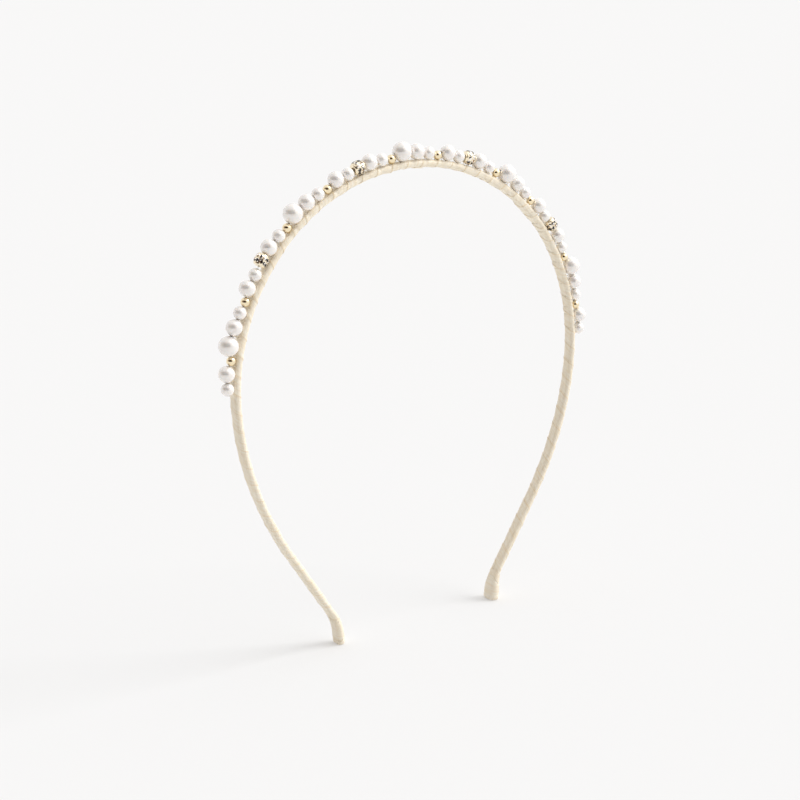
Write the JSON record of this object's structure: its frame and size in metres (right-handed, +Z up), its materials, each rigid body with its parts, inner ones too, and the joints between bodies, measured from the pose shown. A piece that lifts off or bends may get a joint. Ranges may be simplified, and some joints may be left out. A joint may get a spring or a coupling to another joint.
{
  "type": "headband",
  "caption": "Slim arched headband: springy strip wrapped in ivory satin ribbon, with a row of pearls, gold balls and crystal barrels along its outer face.",
  "frame": {"origin": "on the floor under the crown, midway between the two tips", "axes": "+Z up from the tips to the crown, +X from the left tip to the right tip, +Y towards the back of the wearer's head"},
  "size_m": [0.1398, 0.006, 0.1536],
  "materials": {
    "spring_steel": "drawn and tempered",
    "satin_ribbon": "satin weave",
    "pearl": "pearlescent lacquer",
    "gold": "polished pale gold plate",
    "barrel_metal": "pale gold plate",
    "crystal": "foil-backed cut crystal",
    "bead_thread": "drawn nylon",
    "binding_thread": "drawn nylon"
  },
  "bodies": {
    "crown": {"crown_core": "spring_steel", "crown_wrap": "satin_ribbon", "large_pearl_2": "pearl", "large_pearl_3": "pearl", "large_pearl_4": "pearl", "medium_pearl_4": "pearl", "medium_pearl_5": "pearl", "medium_pearl_6": "pearl", "medium_pearl_7": "pearl", "medium_pearl_8": "pearl", "medium_pearl_9": "pearl", "medium_pearl_10": "pearl", "medium_pearl_11": "pearl", "medium_pearl_12": "pearl", "small_pearl_4": "pearl", "small_pearl_5": "pearl", "small_pearl_6": "pearl", "small_pearl_7": "pearl", "small_pearl_8": "pearl", "small_pearl_9": "pearl", "small_pearl_10": "pearl", "small_pearl_11": "pearl", "small_pearl_12": "pearl", "crown_gold_balls": "gold", "crystal_barrel_1": "barrel_metal", "crystal_barrel_2": "barrel_metal", "crystal_barrel_3": "barrel_metal", "crystal_barrel_4": "barrel_metal", "barrel_stones_1": "crystal", "barrel_stones_2": "crystal", "barrel_stones_3": "crystal", "barrel_stones_4": "crystal", "crown_bead_thread": "bead_thread", "crown_binding": "binding_thread"},
    "left_leg": {"left_core": "spring_steel", "left_wrap": "satin_ribbon", "left_end_tab": "satin_ribbon", "large_pearl_1": "pearl", "medium_pearl_1": "pearl", "medium_pearl_2": "pearl", "medium_pearl_3": "pearl", "small_pearl_1": "pearl", "small_pearl_2": "pearl", "small_pearl_3": "pearl", "left_gold_balls": "gold", "left_bead_thread": "bead_thread", "left_binding": "binding_thread"},
    "right_leg": {"right_core": "spring_steel", "right_wrap": "satin_ribbon", "right_end_tab": "satin_ribbon", "large_pearl_5": "pearl", "medium_pearl_13": "pearl", "medium_pearl_14": "pearl", "medium_pearl_15": "pearl", "small_pearl_13": "pearl", "small_pearl_14": "pearl", "small_pearl_15": "pearl", "right_gold_balls": "gold", "right_bead_thread": "bead_thread", "right_binding": "binding_thread"}
  },
  "joints": [
    {"name": "left_leg_flex", "type": "hinge", "parent": "crown", "child": "left_leg", "pos_m": [-0.05314, 0, 0.11952], "axis": [0, 1, 0], "range_deg": [-4, 10], "stiffness_Nm_per_rad": 0.55},
    {"name": "right_leg_flex", "type": "hinge", "parent": "crown", "child": "right_leg", "pos_m": [0.05303, 0, 0.11968], "axis": [0, -1, 0], "range_deg": [-4, 10], "stiffness_Nm_per_rad": 0.55}
  ]
}
